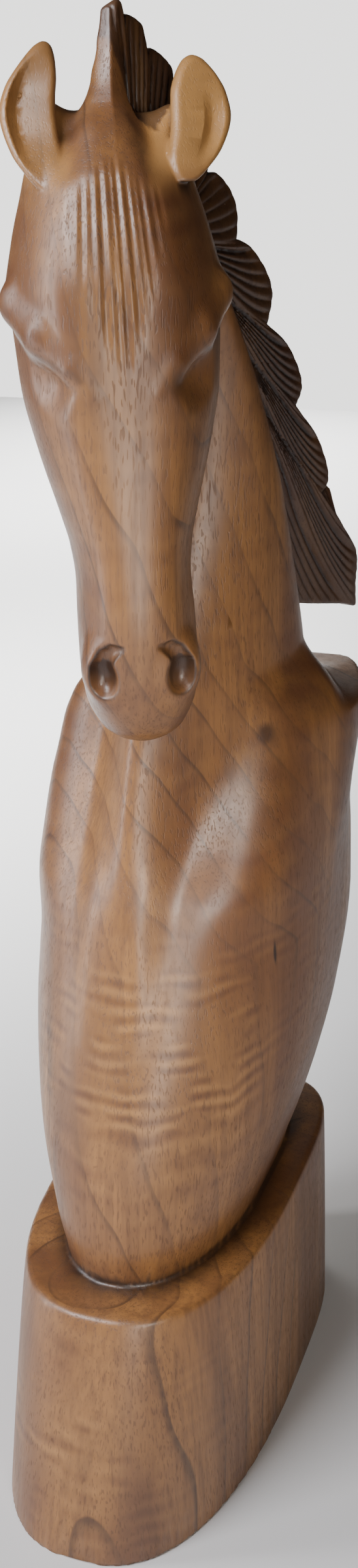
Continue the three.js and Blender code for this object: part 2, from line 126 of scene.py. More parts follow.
# Sharp ridge up the front of the crest: height, side, forward; its two faces fall away from the ridge.
RIDGE = [(450, 1.2, 35), (459, 1.9, 29.5), (466.6, 2.3, 23.4), (472, 2.4, 18.4), (479, 2.8, 14.4),
         (487.4, 3.4, 11.4), (498, 3.9, 9.2)]
RIDGE_LEFT, RIDGE_RIGHT, RIDGE_TOP = 46.0, 38.0, 496.0
RIDGE_BACK = [(450, 12), (466, 8), (472, 5.5), (479, 4), (487, 3), (498, 2.5)]
RIDGE_EDGE, RIDGE_BACK_EDGE, RIDGE_TOP_EDGE, RIDGE_FOOT_EDGE = 0.8, 2.0, 1.5, 6.0

# Forelock: where each groove lies across the fan, as a share of its spread, and how strongly it is cut.
FORELOCK_LINES = [(-0.95, 0.5), (-0.7, 0.75), (-0.5, 0.55), (-0.27, 0.95), (-0.04, 0.6), (0.1, 1.0),
                  (0.33, 0.9), (0.5, 0.5), (0.64, 0.8), (0.86, 0.6), (1.04, 0.8), (1.22, 0.4)]
FORELOCK_TOP, FORELOCK_TOP_FALL, FORELOCK_SPREAD = 457.0, 9, 15.0
FORELOCK_NARROW, FORELOCK_OPENING = 0.72, 40
FORELOCK_LONG, FORELOCK_SHORT, FORELOCK_SHORTENING = 394.0, 431.0, 1.2
FORELOCK_DEPTH, FORELOCK_GROOVE = 0.7, 1.8
FORELOCK_LOW_RUNOUT, FORELOCK_TOP_RUNOUT, FORELOCK_FADE = 14, (-8, 4), (14.0, 22.0)

# Mane: the fan's centre in the neck's plane; its locks, each with the angles where it starts and ends, its
# reach at four shares of its width, and its number of strands.
MANE_CENTRE = (-5.0, 430.0)
MANE_LOCKS = [
    (96.5, 92.5, (61, 66.5, 68, 64), 2),
    (92.5, 81.5, (61.5, 64.5, 63, 56), 5),
    (81.5, 65, (55, 57.5, 56, 49), 6),
    (65, 31.5, (48, 53, 55, 44), 8),
    (31.5, 3, (43, 50, 57, 55.5), 6),
    (3, -18.3, (57, 66, 80, 79), 7),
    (-18.3, -29.6, (81, 96, 110.5, 109), 7),
    (-29.6, -37.3, (112, 131, 146.5, 144), 7),
    (-37.3, -43, (158, 184, 192.5, 198.5), 6),
    (-43, -54.2, (198.5, 188, 162, 150.5), 8),
]
MANE_TOP, MANE_LOW = MANE_LOCKS[0][0], MANE_LOCKS[-1][1]
REACH_AT = (0, 0.15, 0.7, 1)
MANE_ROOT = [(-54.2, 145), (-50.4, 115), (-45, 85), (-30, 44), (14.7, 20), (45, 19), (78.7, 25), (97, 28)]
MANE_ROOT_HALF, MANE_EDGE_HALF, MANE_LEAST_HALF, MANE_ROOT_SINK = 7.0, 3.2, 1.1, 6
MANE_CREST_THIN, MANE_CREST_FROM, MANE_CREST_TO = 0.55, 55.0, 90.0
MANE_OVERLAP, MANE_OVERLAP_STEP = 1.1, 0.14
STRAND_DEPTH, STRAND_LEVEL, STRAND_START = 1.0, 0.75, 3
STRAND_BEND = (11.5, -33.0, 21.5)
STRAND_BEND_FROM, STRAND_BEND_TO = -42.0, -2.0
STRAND_STRAIGHT, STRAND_STRAIGHT_FROM, STRAND_STRAIGHT_TO = 0.3, 41.0, 47.0
STRAND_FADE, STRAND_FADE_FROM = 0.8, 0.84
MANE_RIM_SLOPE, MANE_RIM_EDGE, MANE_ROOT_EDGE, MANE_END_EDGE = 0.7, 1.4, 1.0, 1.2

# Fillets where forms meet, and eased edges of what is cut away.
BAR_FILLET, BASE_FILLET, CHEST_FILLET, HEAD_FILLET, MANE_FILLET = 1.5, 1.0, 1.6, 5.0, 1.0
BROW_FILLET, FLARE_FILLET, POLL_FILLET, RIDGE_FILLET, EAR_FILLET = 2.2, 5.0, 4.0, 3.5, 1.3
HOLLOW_ROUND, NOSTRIL_ROUND, SLIT_ROUND, VALLEY_ROUND = 4.0, 2.0, 1.6, 3.5
NECK_FILLET, NECK_FLUSH, NECK_FLUSH_CENTRE = 11, 13, -4
NECK_FLUSH_SIDE, NECK_FLUSH_FRONT = (8.0, 22.0), (8.0, 30.0)

# Where each form is worked out, with room for its fillet.
BASE_ZONE_TOP, CHEST_ZONE, NECK_ZONE = 105, (70, 322), (172, 484)
HEAD_ZONE_FOOT, HEAD_ZONE_RADIUS, UPPER_HEAD_FOOT = 272, 75, 380
MANE_ZONE_HALF, MANE_ZONE_RADIUS, MANE_ZONE_ANGLES = 16, 212, (-62, 105)
FAR_AWAY = 80.0

# Where vertices are eased freely, where faces are made finer and where the mane is dark: limits of the mane,
# or of the head's side, forward and height.
FREE_EAR_SIDE, FREE_EAR_BACK, FREE_EAR_FOOT = 10, 0, 448
FINE_MANE_HALF, FINE_MANE_ANGLES, FINE_MANE_ROOT, FINE_MANE_FOOT = 12, (-54, 99), 1, 285
FINE_LOCK_HALF, FINE_LOCK_BACK, FINE_LOCK_ZONE = 25, 12, (388, 466)
EYE_INNER, FINE_EYE_BACK, FINE_EYE_ZONE, EYE_BACK, EYE_ZONE = 9, 20, (388, 420), 8, (384, 432)
EAR_ZONE_FOOT, EAR_ZONE_BACK, MUZZLE_ZONE, MUZZLE_BACK = 444, -4, (284, 336), 24
DARK_MANE_HALF, DARK_MANE_ANGLES, DARK_MANE_FOOT, DARK_MANE_FADE = 14, (-55.5, 99), 280, (-1.0, 5.0)

# Grain of the skin (millimetres), longest move and least slope in settling, and the most triangles.
FIRST_GRAIN, SECOND_GRAIN, QUICK_GRAIN = 1.5, 1.4, 2.2
LONGEST_MOVE, LEAST_SLOPE = 2.5, 0.05
MOST_TRIANGLES = 190000
MERGE_GAP = 0.00001

# Painted shade in the hollows: how far out a place looks for wood (millimetres), and its share.
SHADE_LOOKS = ((1.0, 0.35), (2.2, 0.35), (5.0, 0.3))
# Ears: where the painted shade is lifted and paler wood, partly painted light, is laid on.
EAR_SHADE_FOOT, EAR_SHADE_SIDE, EAR_SHADE_BACK = (444.0, 456.0), (9.0, 13.0), 2
EAR_SHADE_LIFT, RIGHT_EAR_PALE = 0.6, 0.5
# Nostrils: where the painted shade lies inside them and how it lightens on their floor.
NOSTRIL_SKIN, NOSTRIL_DARK, NOSTRIL_LIP = 0.9, 0.5, (46.5, 4.0)
NOSTRIL_FLOOR, NOSTRIL_FLOOR_SLOPE, NOSTRIL_FLOOR_SHADE = (304.0, 315.0), 0.5, 0.3
# Fold over the horse's right eye, drawn as painted shade: side to the right, forward, height, radius.
CREASE = [(27, 33.5, 409, 0.1), (23, 38.7, 405, 0.3), (19.5, 42.6, 403, 0.4), (14.9, 47, 401, 0.3),
          (12, 48, 398.6, 0.1)]
CREASE_DARK, CREASE_FADE = 0.3, 2.6
# Painted shade below the left brow and about the right eye: side, forward and height, size, strength.
EYE_SHADES = [
    ((15.4, 46, 397), (8.5, 9, 9), 0.34),
    ((19.5, 42, 389), (9, 11, 12), 0.26),
    ((-21, 41, 416), (7, 8, 8), 0.2),
    ((-22, 39.5, 401), (9, 9, 5), 0.16),
]

# Wood: the pith and the trunk's lean (millimetres), with what it bends between two heights.
PITH_SIDE, PITH_FRONT = 5.9, 108.5
TRUNK_LEAN, TRUNK_SET_BACK = 0.122, -0.287
LEAN_BENDS, BACK_BENDS = ((200, 300, 56.8), (300, 500, 58)), ((200, 500, 120),)
RING_FIRST, RING_SPACING, RING_WANDER = 17.0, 13.4, 16.0
CURL_SPACING, CURL_WANDER = 11.0, 2.2
CURL_CLOSER = ((150, 215, 5.5), (5, 90, 4.4))
CURL_PLACES = [((8, -39, 165), (52, 62, 66)), ((-5, -64, 40), (46, 60, 44))]
CURL_ELSEWHERE = 0.22
PORE_WIDTH, PORE_LENGTH, PORE_DEPTH = 0.5, 3.6, 0.12
SPOT_CORE = 0.35
LACQUER_SHEEN, SATIN_ROUGHNESS, PORE_ROUGHNESS, RELIEF_STRENGTH = 0.8, (0.36, 0.44), 0.15, 0.35
# A pin knot on the neck's root, a short crack on the shoulder, a dark spot at the foot: place, size, strength
# and colour.
WOOD_MARKS = [
    ((35.9, -3.5, 275.4), (4.5, 5, 5), 0.8, "3a2316"),
    ((43.6, -16, 200.6), (3, 1.1, 6), 0.9, "24150d"),
    ((-12.3, -61.4, 88), (5, 3, 3), 0.6, "3a2316"),
]
SMOOTH = dict(interpolation_type="SMOOTHSTEP")


def run(table, column=1):
    """Smooth run through one column of a short table of stations, without overshoot."""
    rows = sorted(table)
    xs = np.array([row[0] for row in rows], float)
    ys = np.array([row[column] for row in rows], float)
    step = np.diff(ys) / np.diff(xs)
    slope = np.concatenate([step[:1], np.zeros(len(xs) - 2), step[-1:]])
    for i in range(1, len(xs) - 1):
        if step[i - 1] * step[i] > 0:
            slope[i] = 2 * step[i - 1] * step[i] / (step[i - 1] + step[i])

    def at(x):
        x = np.clip(x, xs[0], xs[-1])
        i = np.clip(np.searchsorted(xs, x, side="right") - 1, 0, len(xs) - 2)
        h = xs[i + 1] - xs[i]
        t = (x - xs[i]) / h
        ends = ys[i] * (1 + 2 * t) * (1 - t) ** 2 + ys[i + 1] * t * t * (3 - 2 * t)
        return ends + h * (slope[i] * t * (1 - t) ** 2 - slope[i + 1] * t * t * (1 - t))

    return at


def ease(x, low, high):
    """0 at low and 1 at high, with soft ends."""
    t = np.clip((x - low) / (high - low), 0, 1)
    return t * t * (3 - 2 * t)


def lerp(a, b, t):
    return a + (b - a) * t


def between(value, limits):
    return (value > limits[0]) & (value < limits[1])


def join(a, b, fillet):
    """Depth of two forms joined with a fillet."""
    h = np.clip(0.5 + 0.5 * (b - a) / fillet, 0, 1)
    return b + (a - b) * h - fillet * h * (1 - h)


def cut(a, b, edge):
    """Depth of form a with form b cut away and the edge eased."""
    return -join(-a, b, edge)


def within(a, b, edge):
    """Depth of what two forms share, with the edge eased."""
    return -join(-a, -b, edge)


def turned(x, y, centre, degrees):
    c, s = np.cos(np.radians(degrees)), np.sin(np.radians(degrees))
    dx, dy = x - centre[0], y - centre[1]
    return centre[0] + c * dx - s * dy, centre[1] + s * dx + c * dy


def oval_depth(x, y, half, front, middle, back, front_power, back_power):
    """Depth below (or height above) an oval outline in its own plane."""
    ahead = y < middle
    depth = np.where(ahead, middle - front, back - middle)
    power = np.where(ahead, front_power, back_power)
    u = np.abs(x) / half + 1e-5
    v = np.abs(y - middle) / depth + 1e-5
    f = (u ** power + v ** power) ** (1 / power)
    slope = np.hypot(u ** (power - 1) / half, v ** (power - 1) / depth) * f ** (1 - power)
    return (f - 1) / slope


def ball_depth(a, b, c, at, size):
    """Depth of an egg-shaped ball of this size about a place."""
    ax, bx, cx = (a - at[0]) / size[0], (b - at[1]) / size[1], (c - at[2]) / size[2]
    k = np.sqrt(ax * ax + bx * bx + cx * cx) + 1e-6
    g = np.sqrt((ax / size[0]) ** 2 + (bx / size[1]) ** 2 + (cx / size[2]) ** 2) + 1e-6
    return k * (k - 1) / g


def bar_depth(a, b, c, stations):
    """Depth of a round bar whose radius changes along its stations."""
    best = None
    for p, q in zip(stations[:-1], stations[1:]):
        d = np.array(q[:3], float) - np.array(p[:3], float)
        t = np.clip(((a - p[0]) * d[0] + (b - p[1]) * d[1] + (c - p[2]) * d[2]) / d.dot(d), 0, 1)
        gap = np.sqrt((a - p[0] - t * d[0]) ** 2 + (b - p[1] - t * d[1]) ** 2 + (c - p[2] - t * d[2]) ** 2)
        gap = gap - lerp(p[3], q[3], t)
        best = gap if best is None else join(best, gap, BAR_FILLET)
    return best


chest_half, chest_front, chest_back = run(CHEST_WIDTH), run(CHEST_FRONT), run(CHEST_BACK)
chest_middle = run(CHEST_MIDDLE)
chest_taper, chest_sway, chest_power = run(CHEST_TAPER), run(CHEST_SWAY), run(CHEST_FRONT_POWER)
neck_half, neck_front, neck_back = run(NECK_WIDTH), run(NECK_FRONT), run(NECK_BACK)
head_half, head_front, head_back = run(HEAD_WIDTH), run(HEAD_FRONT), run(HEAD_BACK)
head_widest, head_bridge = run(HEAD_WIDEST), run(HEAD_BRIDGE)
mane_root = run(MANE_ROOT)
lock_reach = [run(list(zip(REACH_AT, lock[2]))) for lock in MANE_LOCKS]
ear_half = run(EAR_WIDTH)
ridge_side, ridge_forward, ridge_back = run(RIDGE, 1), run(RIDGE, 2), run(RIDGE_BACK)


def drawn_place(p):
    """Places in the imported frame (metres) as x, y and z of the drawing (millimetres)."""
    return p[:, 0] / MM, p[:, 1] / MM + BASE_CENTRE_Y, p[:, 2] / MM


def head_place(x, y, z):
    """Side, forward and height of a place, seen from the turned and rolled head."""
    x, y = turned(x, y, HEAD_PIVOT, -HEAD_TURN)
    a, forward, rise = x - HEAD_PIVOT[0], HEAD_PIVOT[1] - y, z - HEAD_ROLL_HEIGHT
    c, s = math.cos(math.radians(HEAD_ROLL)), math.sin(math.radians(HEAD_ROLL))
    return a * c + rise * s, forward, HEAD_ROLL_HEIGHT + rise * c - a * s


def from_head(side, forward, height):
    """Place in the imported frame, in metres, of a place given as the head's side, forward and height."""
    c, s = math.cos(math.radians(HEAD_ROLL)), math.sin(math.radians(HEAD_ROLL))
    rise = height - HEAD_ROLL_HEIGHT
    x, y = turned(HEAD_PIVOT[0] + side * c - rise * s, HEAD_PIVOT[1] - forward, HEAD_PIVOT, HEAD_TURN)
    return x * MM, (y - BASE_CENTRE_Y) * MM, (HEAD_ROLL_HEIGHT + side * s + rise * c) * MM


def mane_place(x, y, z):
    """Offset from the neck's plane, radius and angle about the fan's centre."""
    x, y = turned(x, y, PIVOT, -NECK_TURN)
    back, rise = y - PIVOT[1] - MANE_CENTRE[0], z - MANE_CENTRE[1]
    return x - PIVOT[0], np.hypot(back, rise), np.degrees(np.arctan2(rise, back))


def base_depth(x, y, z):
    flare = np.clip(1 - z / BASE_HEIGHT, 0, 1) ** BASE_FLARE_POWER
    side = oval_depth(x, y, BASE_HALF_WIDTH + BASE_FLARE_SIDE * flare, BASE_FRONT - BASE_FLARE_FRONT * flare,
                      BASE_MIDDLE, BASE_BACK + BASE_FLARE_BACK * flare, BASE_FRONT_POWER, BASE_BACK_POWER)
    return within(within(side, z - BASE_HEIGHT, BASE_RIM), -z, BASE_FOOT_EDGE)


def chest_depth(x, y, z):
    zc = np.clip(z, CHEST_WIDTH[0][0], CHEST_WIDTH[-1][0])
    front, back = chest_front(zc), chest_back(zc)
    x = x - chest_sway(zc) * ease(y, CHEST_SWAY_FROM, CHEST_SWAY_TO)
    narrow = 1 - chest_taper(zc) * ease(y, CHEST_TAPER_FROM, np.maximum(back, CHEST_TAPER_LEAST))
    side = oval_depth(x / narrow, y, chest_half(zc), front, chest_middle(zc), back, chest_power(zc),
                      CHEST_BACK_POWER) * narrow
    side = within(side, z - CHEST_TOP, CHEST_TOP_EDGE)
    return within(side, CHEST_WIDTH[0][0] - z, CHEST_FOOT_EDGE)


def neck_depth(x, y, z):
    zc = np.clip(z, NECK_WIDTH[0][0], NECK_WIDTH[-1][0])
    x, y = turned(x, y, PIVOT, -NECK_TURN * ease(zc, NECK_TURN_FROM, NECK_TURN_TO))
    front, back = neck_front(zc), neck_back(zc)
    x = np.sqrt(x * x + KEEL_ROUND * KEEL_ROUND)
    side = oval_depth(x, y, neck_half(zc), front, 0.5 * (front + back), back, NECK_FRONT_POWER,
                      NECK_BACK_POWER)
    side = within(side, z - NECK_WIDTH[-1][0], NECK_END_EDGE)
    return within(side, NECK_WIDTH[0][0] - z, NECK_END_EDGE)


def lock_share(angle):
    """Which lock an angle falls in, and its share of that lock."""
    index = np.zeros(angle.shape, int)
    share = np.zeros_like(angle)
    for i, (top, low, _, _) in enumerate(MANE_LOCKS):
        inside = angle <= top
        index = np.where(inside, i, index)
        share = np.where(inside, np.clip((top - angle) / (top - low), 0, 1), share)
    return index, share


def mane_depth(x, y, z):
    """Depth of the mane's plate with its overlapping locks and gouged strands."""
    offset, radius, angle = mane_place(x, y, z)
    index, share = lock_share(np.clip(angle, MANE_LOW, MANE_TOP))
    reach = np.zeros_like(radius)
    for i, at in enumerate(lock_reach):
        mine = index == i
        reach[mine] = at(share[mine])
    inner = mane_root(angle) - MANE_ROOT_SINK
    out = np.clip((radius - inner) / (reach - inner), 0, 1)
    # Strands leave the root steeply downwards and sweep level towards the tips of their lock.
    straight = ease(-angle, STRAND_STRAIGHT_FROM, STRAND_STRAIGHT_TO)
    bend = ease(-angle, STRAND_BEND_FROM, STRAND_BEND_TO) * lerp(1.0, STRAND_STRAIGHT, straight)
    bend = bend * (STRAND_BEND[0] + STRAND_BEND[1] * out + STRAND_BEND[2] * out * out)
    index, share = lock_share(np.clip(angle - bend, MANE_LOW, MANE_TOP))
    strands = np.array([lock[3] for lock in MANE_LOCKS], float)[index]
    ridge = np.abs(np.sin(np.pi * share * strands))
    step = MANE_OVERLAP * (2 * share - 1 + 2 * (1 - ease(share, 0.0, MANE_OVERLAP_STEP)))
    crest = lerp(1.0, MANE_CREST_THIN, ease(angle, MANE_CREST_FROM, MANE_CREST_TO))
    carved = np.minimum(1.0, out * STRAND_START) * (1 - STRAND_FADE * ease(out, STRAND_FADE_FROM, 1.0))
    half = lerp(MANE_ROOT_HALF, MANE_EDGE_HALF, out) * crest
    half = half + (step + STRAND_DEPTH * (ridge - STRAND_LEVEL)) * crest * carved
    rim = (radius - reach) * MANE_RIM_SLOPE
    plate = within(np.abs(offset) - np.maximum(half, MANE_LEAST_HALF), rim, MANE_RIM_EDGE)
    plate = within(plate, inner - radius, MANE_ROOT_EDGE)
    ends = np.maximum(angle - MANE_TOP, MANE_LOW - angle) * np.radians(1) * radius
    return within(plate, ends, MANE_END_EDGE)


def ear_depth(side, forward, height, ear):
    """Depth of an ear: a leaf bent along its spine, flat in front and hollowed."""
    spine = ear["spine"]
    low, high = spine[0][0], spine[-1][0]
    hc = np.clip(height, low, high)
    a, b = side * ear["side"] - run(spine, 1)(hc), forward - run(spine, 2)(hc)
    turn = math.radians(ear["turn"])
    across, ahead = a * math.cos(turn) - b * math.sin(turn), a * math.sin(turn) + b * math.cos(turn)
    share = (hc - low) / (high - low)
    half = ear_half(share) * ear["scale"]
    depth = np.minimum(EAR_DEPTH, half * EAR_DEPTH_SHARE)
    leaf = oval_depth(across, ahead, half, -depth, 0.0, depth, 2.0, 2.0)
    inner, deep, outer = ear["hollow"]
    u = across / half
    scoop = np.clip((u - inner) / (deep - inner), 0, 1) ** ear["slope"]
    scoop = scoop * np.clip((outer - u) / (outer - deep), 0, 1) ** EAR_OUTER_SLOPE
    starts, full, leaves, ends = ear["along"]
    scoop = scoop * ease(share, starts, full) * (1 - ease(share, leaves, ends))
    leaf = within(leaf, (ahead - ear["flat"] + ear["deep"] * scoop) * EAR_FACE_SLOPE, EAR_FACE_EDGE)
    return within(within(leaf, height - high, EAR_TIP_EDGE), low - height, EAR_FOOT_EDGE)


def ridge_depth(side, forward, height):
    """Depth of the wedge whose sharp edge runs up the front of the crest."""
    hr = np.clip(height, RIDGE[0][0], RIDGE[-1][0])
    a, b = side - ridge_side(hr), forward - ridge_forward(hr)
    left, right = math.radians(RIDGE_LEFT), math.radians(RIDGE_RIGHT)
    left_face = b * math.sin(left) - a * math.cos(left)
    right_face = b * math.sin(right) + a * math.cos(right)
    wedge = within(left_face, right_face, RIDGE_EDGE)
    wedge = within(wedge, -b - ridge_back(hr), RIDGE_BACK_EDGE)
    wedge = within(wedge, height - RIDGE_TOP, RIDGE_TOP_EDGE)
    return within(wedge, RIDGE[0][0] - height, RIDGE_FOOT_EDGE)


def forelock_groove(side, forward, height):
    """How deep the forelock's grooves lie at a place (millimetres)."""
    opening = np.clip((FORELOCK_TOP - height) / FORELOCK_OPENING, 0, 1)
    across = side / (FORELOCK_SPREAD * lerp(FORELOCK_NARROW, 1.0, opening))
    groove = np.zeros_like(side)
    for at, weight in FORELOCK_LINES:
        low = lerp(FORELOCK_LONG, FORELOCK_SHORT, abs(at) ** FORELOCK_SHORTENING)
        top = FORELOCK_TOP - FORELOCK_TOP_FALL * abs(at)
        fade_from, fade_to = top + FORELOCK_TOP_RUNOUT[0], top + FORELOCK_TOP_RUNOUT[1]
        there = ease(height, low, low + FORELOCK_LOW_RUNOUT) * (1 - ease(height, fade_from, fade_to))
        near = np.clip(np.abs(across - at) * FORELOCK_SPREAD / FORELOCK_GROOVE, 0, 1)
        groove = np.maximum(groove, weight * there * (0.5 + 0.5 * np.cos(np.pi * near)))
    return FORELOCK_DEPTH * groove * ease(forward, *FORELOCK_FADE)


def upper_head(core, side, forward, height):
    """Poll, saddle, ridge, forelock and ears laid on the head's core."""
    for valley in VALLEYS:
        core = cut(core, bar_depth(side, forward, height, valley), VALLEY_ROUND)
    core = join(core, bar_depth(side, forward, height, POLL), POLL_FILLET)
    core = join(core, bar_depth(side, forward, height, SADDLE), POLL_FILLET)
    core = join(core, ridge_depth(side, forward, height), RIDGE_FILLET)
    core = core + forelock_groove(side, forward, height)
    for ear in EARS:
        core = join(core, ear_depth(side, forward, height, ear), EAR_FILLET)
    return core


def head_depth(x, y, z):
    side, forward, height = head_place(x, y, z)
    hc = np.clip(height, HEAD_WIDTH[0][0], HEAD_WIDTH[-1][0])
    front = head_front(hc)
    core = oval_depth(side, -forward, head_half(hc), -front - head_bridge(hc), -head_widest(hc),
                      -head_back(hc), HEAD_FRONT_POWER, HEAD_BACK_POWER)
    core = within(core, forward - front, BRIDGE_EDGE)
    core = within(core, height - HEAD_WIDTH[-1][0], HEAD_TOP_EDGE)
    core = within(core, HEAD_WIDTH[0][0] - height, CHIN_EDGE)
    a = np.abs(side)
    core = cut(core, ball_depth(a, forward, height, HOLLOW_AT, HOLLOW_SIZE), HOLLOW_ROUND)
    core = join(core, bar_depth(a, forward, height, BROW), BROW_FILLET)
    core = join(core, ball_depth(a, forward, height, FLARE_AT, FLARE_SIZE), FLARE_FILLET)
    core = cut(core, ball_depth(a, forward, height, NOSTRIL_AT, NOSTRIL_SIZE), NOSTRIL_ROUND)
    core = cut(core, bar_depth(a, forward, height, NOSTRIL_SLIT), SLIT_ROUND)
    high = height > UPPER_HEAD_FOOT
    if high.any():
        core[high] = upper_head(core[high], side[high], forward[high], height[high])
    return core


def carving_depth(p):
    """Height of places (metres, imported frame) above the carved surface, in millimetres."""
    x, y, z = drawn_place(p)
    body = np.full(len(x), FAR_AWAY)

    def lay(near, form, fillet):
        if near.any():
            body[near] = join(body[near], form(x[near], y[near], z[near]), fillet)

    lay(z < BASE_ZONE_TOP, base_depth, BASE_FILLET)
    lay(between(z, CHEST_ZONE), chest_depth, CHEST_FILLET)
    # The neck's root is worked flush into the chest in front, and meets the shoulders more sharply.
    near = between(z, NECK_ZONE)
    flush = 1 - ease(np.abs(x[near] - NECK_FLUSH_CENTRE), *NECK_FLUSH_SIDE)
    flush = flush * ease(-y[near], *NECK_FLUSH_FRONT)
    lay(near, neck_depth, NECK_FILLET + NECK_FLUSH * flush)
    by_head = np.hypot(x - HEAD_PIVOT[0], y - HEAD_PIVOT[1]) < HEAD_ZONE_RADIUS
    lay((z > HEAD_ZONE_FOOT) & by_head, head_depth, HEAD_FILLET)
    offset, radius, angle = mane_place(x, y, z)
    by_mane = (np.abs(offset) < MANE_ZONE_HALF) & (radius < MANE_ZONE_RADIUS)
    lay(by_mane & between(angle, MANE_ZONE_ANGLES), mane_depth, MANE_FILLET)
    return body


def mesh_points(mesh):
    flat = np.empty(len(mesh.vertices) * 3)
    mesh.vertices.foreach_get("co", flat)
    return flat.reshape(-1, 3)


def set_points(mesh, points):
    mesh.vertices.foreach_set("co", np.ascontiguousarray(points).ravel())
    mesh.update()


def slope_at(p, depth, reach=0.3 * MM):
    """Slope of the carving's depth at places, in millimetres per millimetre along x, y and z."""
    g = np.empty_like(p)
    for k in range(3):
        d = np.zeros(3)
        d[k] = reach
        g[:, k] = (carving_depth(p + d) - depth) / (reach / MM)
    return g


def settle(mesh, passes, ease_share=0.0):
    """Brings every vertex onto the carved surface and, between passes, eases their spacing along it; at the
    ears they are eased in every direction, which takes folds out of the skin."""
    p = mesh_points(mesh)
    side, forward, height = head_place(*drawn_place(p))
    free = (np.abs(side) > FREE_EAR_SIDE) & (forward > FREE_EAR_BACK) & (height > FREE_EAR_FOOT)
    along_only = 1.0 - free
    edges = np.empty(len(mesh.edges) * 2, int)
    mesh.edges.foreach_get("vertices", edges)
    edges = edges.reshape(-1, 2)
    count = np.bincount(edges.ravel(), minlength=len(p))[:, None]
    for k in range(passes):
        depth = carving_depth(p)
        g = slope_at(p, depth)
        size = np.maximum((g * g).sum(1), LEAST_SLOPE)
        move = np.clip(depth / size, -LONGEST_MOVE, LONGEST_MOVE)
        p = p - (g * move[:, None]) * MM
        if ease_share and k < passes - 1:
            total = np.zeros_like(p)
            for c in range(3):
                total[:, c] = np.bincount(edges[:, 0], p[edges[:, 1], c], len(p))
                total[:, c] += np.bincount(edges[:, 1], p[edges[:, 0], c], len(p))
            shift = total / count - p
            n = g / np.sqrt(size)[:, None]
            p = p + ease_share * (shift - n * (along_only * (shift * n).sum(1))[:, None])
    p[:, 2] = np.maximum(p[:, 2], 0.0)
    set_points(mesh, p)


def fine_zone(p):
    """True at the finest carving: the mane's strands, the forelock and the front of the brows."""
    x, y, z = drawn_place(p)
    offset, radius, angle = mane_place(x, y, z)
    mane = (np.abs(offset) < FINE_MANE_HALF) & between(angle, FINE_MANE_ANGLES)
    mane = mane & (radius > mane_root(angle) - FINE_MANE_ROOT) & (z > FINE_MANE_FOOT)
    side, forward, height = head_place(x, y, z)
    forelock = (np.abs(side) < FINE_LOCK_HALF) & (forward > FINE_LOCK_BACK) & between(height, FINE_LOCK_ZONE)
    eyes = (np.abs(side) > EYE_INNER) & (forward > FINE_EYE_BACK) & between(height, FINE_EYE_ZONE)
    return mane | forelock | eyes


def medium_zone(p):
    """True at the ears, the brows, the muzzle and the finest carving."""
    side, forward, height = head_place(*drawn_place(p))
    ears = (height > EAR_ZONE_FOOT) & (forward > EAR_ZONE_BACK)
    eyes = (np.abs(side) > EYE_INNER) & (forward > EYE_BACK) & between(height, EYE_ZONE)
    muzzle = between(height, MUZZLE_ZONE) & (forward > MUZZLE_BACK)
    return ears | eyes | muzzle | fine_zone(p)


def only(obj):
    """Selects this object alone and makes it active."""
    bpy.ops.object.select_all(action="DESELECT")
    obj.select_set(True)
    bpy.context.view_layer.objects.active = obj


def subdivide_where(obj, zone):
    """Subdivides the faces whose centres lie in a zone."""
    mesh = obj.data
    centres = np.empty(len(mesh.polygons) * 3)
    mesh.polygons.foreach_get("center", centres)
    mesh.polygons.foreach_set("select", zone(centres.reshape(-1, 3)))
    mesh.update()
    only(obj)
    bpy.context.tool_settings.mesh_select_mode = (False, False, True)
    bpy.ops.object.mode_set(mode="EDIT")
    bpy.ops.mesh.subdivide(number_cuts=1)
    bpy.ops.object.mode_set(mode="OBJECT")


def nostril_shade(side, forward, height):
    """How dark the painted shade lies inside the nostrils: darkest deep in and high up, lighter on their
    floor.
    """
    pit = ball_depth(side, forward, height, NOSTRIL_AT, NOSTRIL_SIZE) < NOSTRIL_SKIN
    lip, fade = NOSTRIL_LIP
    floor_height = height - NOSTRIL_FLOOR_SLOPE * (side - NOSTRIL_AT[0])
    lit = lerp(NOSTRIL_FLOOR_SHADE, 1.0, ease(floor_height, *NOSTRIL_FLOOR))
    return NOSTRIL_DARK * pit * ease(lip - forward, 0.0, fade) * lit


